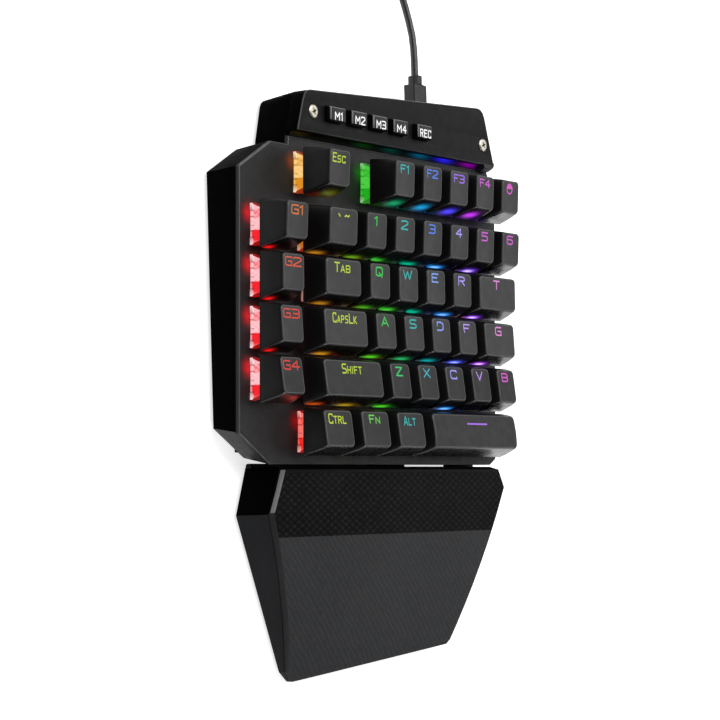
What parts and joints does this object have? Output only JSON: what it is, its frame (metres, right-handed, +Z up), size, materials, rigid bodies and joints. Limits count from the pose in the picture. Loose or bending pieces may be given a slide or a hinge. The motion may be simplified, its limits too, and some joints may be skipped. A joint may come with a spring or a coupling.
{
  "type": "gaming keypad",
  "caption": "One-hand gaming keypad with sculpted keys, a raised macro button module, a pull-off wrist rest and a USB cable.",
  "frame": {"origin": "centre of the keypad and wrist rest in plan, on the table that the feet stand on", "axes": "+X to the right of the person typing, +Y to the back where the cable leaves, +Z up from the table"},
  "size_m": [0.1738, 0.3509, 0.0341],
  "materials": {
    "case": "satin black moulded plastic",
    "deck": "satin black powder-coated metal",
    "module": "satin black moulded plastic",
    "keycaps": "fine matt dark grey plastic with lit legends",
    "switches": "clear plastic housings lit from inside",
    "circuit_board": "green solder mask",
    "buttons": "smooth black plastic with light legends",
    "screws": "bright plated steel",
    "cable": "satin black cable jacket",
    "plug": "black moulded grip with plated shell",
    "feet": "matt black rubber",
    "rest_shell": "satin black moulded plastic",
    "rest_top": "textured dark grey plastic"
  },
  "bodies": {
    "base": {"bottom_case": "case", "top_plate": "deck", "switch_board": "switches", "module_cover": "module", "macro_board": "circuit_board", "module_screw_left": "screws", "module_screw_right": "screws", "strain_relief": "cable", "usb_cable": "cable", "usb_cable_coil": "cable", "usb_plug": "plug", "case_foot_front": "feet", "case_foot_rear": "feet"},
    "keycap_esc": {"keycap_esc": "keycaps"},
    "keycap_f1": {"keycap_f1": "keycaps"},
    "keycap_f2": {"keycap_f2": "keycaps"},
    "keycap_f3": {"keycap_f3": "keycaps"},
    "keycap_f4": {"keycap_f4": "keycaps"},
    "keycap_light": {"keycap_light": "keycaps"},
    "keycap_g1": {"keycap_g1": "keycaps"},
    "keycap_g2": {"keycap_g2": "keycaps"},
    "keycap_g3": {"keycap_g3": "keycaps"},
    "keycap_g4": {"keycap_g4": "keycaps"},
    "keycap_backquote": {"keycap_backquote": "keycaps"},
    "keycap_1": {"keycap_1": "keycaps"},
    "keycap_2": {"keycap_2": "keycaps"},
    "keycap_3": {"keycap_3": "keycaps"},
    "keycap_4": {"keycap_4": "keycaps"},
    "keycap_5": {"keycap_5": "keycaps"},
    "keycap_6": {"keycap_6": "keycaps"},
    "keycap_tab": {"keycap_tab": "keycaps"},
    "keycap_q": {"keycap_q": "keycaps"},
    "keycap_w": {"keycap_w": "keycaps"},
    "keycap_e": {"keycap_e": "keycaps"},
    "keycap_r": {"keycap_r": "keycaps"},
    "keycap_t": {"keycap_t": "keycaps"},
    "keycap_capslock": {"keycap_capslock": "keycaps"},
    "keycap_a": {"keycap_a": "keycaps"},
    "keycap_s": {"keycap_s": "keycaps"},
    "keycap_d": {"keycap_d": "keycaps"},
    "keycap_f": {"keycap_f": "keycaps"},
    "keycap_g": {"keycap_g": "keycaps"},
    "keycap_shift": {"keycap_shift": "keycaps"},
    "keycap_z": {"keycap_z": "keycaps"},
    "keycap_x": {"keycap_x": "keycaps"},
    "keycap_c": {"keycap_c": "keycaps"},
    "keycap_v": {"keycap_v": "keycaps"},
    "keycap_b": {"keycap_b": "keycaps"},
    "keycap_ctrl": {"keycap_ctrl": "keycaps"},
    "keycap_fn": {"keycap_fn": "keycaps"},
    "keycap_alt": {"keycap_alt": "keycaps"},
    "keycap_space": {"keycap_space": "keycaps"},
    "button_m1": {"button_m1": "buttons"},
    "button_m2": {"button_m2": "buttons"},
    "button_m3": {"button_m3": "buttons"},
    "button_m4": {"button_m4": "buttons"},
    "button_rec": {"button_rec": "buttons"},
    "wrist_rest": {"wrist_rest": "rest_shell", "wrist_rest_pad": "rest_top", "wrist_rest_foot": "feet"}
  },
  "joints": [
    {"name": "press_esc", "type": "slide", "parent": "base", "child": "keycap_esc", "axis": [0, 0.0349, -0.9994], "range_m": [0, 0.004], "stiffness_N_per_m": 90, "springref_m": -0.004},
    {"name": "press_f1", "type": "slide", "parent": "base", "child": "keycap_f1", "axis": [0, 0.0349, -0.9994], "range_m": [0, 0.004], "stiffness_N_per_m": 90, "springref_m": -0.004},
    {"name": "press_f2", "type": "slide", "parent": "base", "child": "keycap_f2", "axis": [0, 0.0349, -0.9994], "range_m": [0, 0.004], "stiffness_N_per_m": 90, "springref_m": -0.004},
    {"name": "press_f3", "type": "slide", "parent": "base", "child": "keycap_f3", "axis": [0, 0.0349, -0.9994], "range_m": [0, 0.004], "stiffness_N_per_m": 90, "springref_m": -0.004},
    {"name": "press_f4", "type": "slide", "parent": "base", "child": "keycap_f4", "axis": [0, 0.0349, -0.9994], "range_m": [0, 0.004], "stiffness_N_per_m": 90, "springref_m": -0.004},
    {"name": "press_light", "type": "slide", "parent": "base", "child": "keycap_light", "axis": [0, 0.0349, -0.9994], "range_m": [0, 0.004], "stiffness_N_per_m": 90, "springref_m": -0.004},
    {"name": "press_g1", "type": "slide", "parent": "base", "child": "keycap_g1", "axis": [0, 0.0349, -0.9994], "range_m": [0, 0.004], "stiffness_N_per_m": 90, "springref_m": -0.004},
    {"name": "press_g2", "type": "slide", "parent": "base", "child": "keycap_g2", "axis": [0, 0.0349, -0.9994], "range_m": [0, 0.004], "stiffness_N_per_m": 90, "springref_m": -0.004},
    {"name": "press_g3", "type": "slide", "parent": "base", "child": "keycap_g3", "axis": [0, 0.0349, -0.9994], "range_m": [0, 0.004], "stiffness_N_per_m": 90, "springref_m": -0.004},
    {"name": "press_g4", "type": "slide", "parent": "base", "child": "keycap_g4", "axis": [0, 0.0349, -0.9994], "range_m": [0, 0.004], "stiffness_N_per_m": 90, "springref_m": -0.004},
    {"name": "press_backquote", "type": "slide", "parent": "base", "child": "keycap_backquote", "axis": [0, 0.0349, -0.9994], "range_m": [0, 0.004], "stiffness_N_per_m": 90, "springref_m": -0.004},
    {"name": "press_1", "type": "slide", "parent": "base", "child": "keycap_1", "axis": [0, 0.0349, -0.9994], "range_m": [0, 0.004], "stiffness_N_per_m": 90, "springref_m": -0.004},
    {"name": "press_2", "type": "slide", "parent": "base", "child": "keycap_2", "axis": [0, 0.0349, -0.9994], "range_m": [0, 0.004], "stiffness_N_per_m": 90, "springref_m": -0.004},
    {"name": "press_3", "type": "slide", "parent": "base", "child": "keycap_3", "axis": [0, 0.0349, -0.9994], "range_m": [0, 0.004], "stiffness_N_per_m": 90, "springref_m": -0.004},
    {"name": "press_4", "type": "slide", "parent": "base", "child": "keycap_4", "axis": [0, 0.0349, -0.9994], "range_m": [0, 0.004], "stiffness_N_per_m": 90, "springref_m": -0.004},
    {"name": "press_5", "type": "slide", "parent": "base", "child": "keycap_5", "axis": [0, 0.0349, -0.9994], "range_m": [0, 0.004], "stiffness_N_per_m": 90, "springref_m": -0.004},
    {"name": "press_6", "type": "slide", "parent": "base", "child": "keycap_6", "axis": [0, 0.0349, -0.9994], "range_m": [0, 0.004], "stiffness_N_per_m": 90, "springref_m": -0.004},
    {"name": "press_tab", "type": "slide", "parent": "base", "child": "keycap_tab", "axis": [0, 0.0349, -0.9994], "range_m": [0, 0.004], "stiffness_N_per_m": 90, "springref_m": -0.004},
    {"name": "press_q", "type": "slide", "parent": "base", "child": "keycap_q", "axis": [0, 0.0349, -0.9994], "range_m": [0, 0.004], "stiffness_N_per_m": 90, "springref_m": -0.004},
    {"name": "press_w", "type": "slide", "parent": "base", "child": "keycap_w", "axis": [0, 0.0349, -0.9994], "range_m": [0, 0.004], "stiffness_N_per_m": 90, "springref_m": -0.004},
    {"name": "press_e", "type": "slide", "parent": "base", "child": "keycap_e", "axis": [0, 0.0349, -0.9994], "range_m": [0, 0.004], "stiffness_N_per_m": 90, "springref_m": -0.004},
    {"name": "press_r", "type": "slide", "parent": "base", "child": "keycap_r", "axis": [0, 0.0349, -0.9994], "range_m": [0, 0.004], "stiffness_N_per_m": 90, "springref_m": -0.004},
    {"name": "press_t", "type": "slide", "parent": "base", "child": "keycap_t", "axis": [0, 0.0349, -0.9994], "range_m": [0, 0.004], "stiffness_N_per_m": 90, "springref_m": -0.004},
    {"name": "press_capslock", "type": "slide", "parent": "base", "child": "keycap_capslock", "axis": [0, 0.0349, -0.9994], "range_m": [0, 0.004], "stiffness_N_per_m": 90, "springref_m": -0.004},
    {"name": "press_a", "type": "slide", "parent": "base", "child": "keycap_a", "axis": [0, 0.0349, -0.9994], "range_m": [0, 0.004], "stiffness_N_per_m": 90, "springref_m": -0.004},
    {"name": "press_s", "type": "slide", "parent": "base", "child": "keycap_s", "axis": [0, 0.0349, -0.9994], "range_m": [0, 0.004], "stiffness_N_per_m": 90, "springref_m": -0.004},
    {"name": "press_d", "type": "slide", "parent": "base", "child": "keycap_d", "axis": [0, 0.0349, -0.9994], "range_m": [0, 0.004], "stiffness_N_per_m": 90, "springref_m": -0.004},
    {"name": "press_f", "type": "slide", "parent": "base", "child": "keycap_f", "axis": [0, 0.0349, -0.9994], "range_m": [0, 0.004], "stiffness_N_per_m": 90, "springref_m": -0.004},
    {"name": "press_g", "type": "slide", "parent": "base", "child": "keycap_g", "axis": [0, 0.0349, -0.9994], "range_m": [0, 0.004], "stiffness_N_per_m": 90, "springref_m": -0.004},
    {"name": "press_shift", "type": "slide", "parent": "base", "child": "keycap_shift", "axis": [0, 0.0349, -0.9994], "range_m": [0, 0.004], "stiffness_N_per_m": 90, "springref_m": -0.004},
    {"name": "press_z", "type": "slide", "parent": "base", "child": "keycap_z", "axis": [0, 0.0349, -0.9994], "range_m": [0, 0.004], "stiffness_N_per_m": 90, "springref_m": -0.004},
    {"name": "press_x", "type": "slide", "parent": "base", "child": "keycap_x", "axis": [0, 0.0349, -0.9994], "range_m": [0, 0.004], "stiffness_N_per_m": 90, "springref_m": -0.004},
    {"name": "press_c", "type": "slide", "parent": "base", "child": "keycap_c", "axis": [0, 0.0349, -0.9994], "range_m": [0, 0.004], "stiffness_N_per_m": 90, "springref_m": -0.004},
    {"name": "press_v", "type": "slide", "parent": "base", "child": "keycap_v", "axis": [0, 0.0349, -0.9994], "range_m": [0, 0.004], "stiffness_N_per_m": 90, "springref_m": -0.004},
    {"name": "press_b", "type": "slide", "parent": "base", "child": "keycap_b", "axis": [0, 0.0349, -0.9994], "range_m": [0, 0.004], "stiffness_N_per_m": 90, "springref_m": -0.004},
    {"name": "press_ctrl", "type": "slide", "parent": "base", "child": "keycap_ctrl", "axis": [0, 0.0349, -0.9994], "range_m": [0, 0.004], "stiffness_N_per_m": 90, "springref_m": -0.004},
    {"name": "press_fn", "type": "slide", "parent": "base", "child": "keycap_fn", "axis": [0, 0.0349, -0.9994], "range_m": [0, 0.004], "stiffness_N_per_m": 90, "springref_m": -0.004},
    {"name": "press_alt", "type": "slide", "parent": "base", "child": "keycap_alt", "axis": [0, 0.0349, -0.9994], "range_m": [0, 0.004], "stiffness_N_per_m": 90, "springref_m": -0.004},
    {"name": "press_space", "type": "slide", "parent": "base", "child": "keycap_space", "axis": [0, 0.0349, -0.9994], "range_m": [0, 0.004], "stiffness_N_per_m": 90, "springref_m": -0.004},
    {"name": "press_m1", "type": "slide", "parent": "base", "child": "button_m1", "axis": [0, 0.0349, -0.9994], "range_m": [0, 0.0006], "stiffness_N_per_m": 900, "springref_m": -0.001},
    {"name": "press_m2", "type": "slide", "parent": "base", "child": "button_m2", "axis": [0, 0.0349, -0.9994], "range_m": [0, 0.0006], "stiffness_N_per_m": 900, "springref_m": -0.001},
    {"name": "press_m3", "type": "slide", "parent": "base", "child": "button_m3", "axis": [0, 0.0349, -0.9994], "range_m": [0, 0.0006], "stiffness_N_per_m": 900, "springref_m": -0.001},
    {"name": "press_m4", "type": "slide", "parent": "base", "child": "button_m4", "axis": [0, 0.0349, -0.9994], "range_m": [0, 0.0006], "stiffness_N_per_m": 900, "springref_m": -0.001},
    {"name": "press_rec", "type": "slide", "parent": "base", "child": "button_rec", "axis": [0, 0.0349, -0.9994], "range_m": [0, 0.0006], "stiffness_N_per_m": 900, "springref_m": -0.001},
    {"name": "rest_pull", "type": "slide", "parent": "base", "child": "wrist_rest", "axis": [0, -1, 0], "range_m": [0, 0.03]}
  ]
}
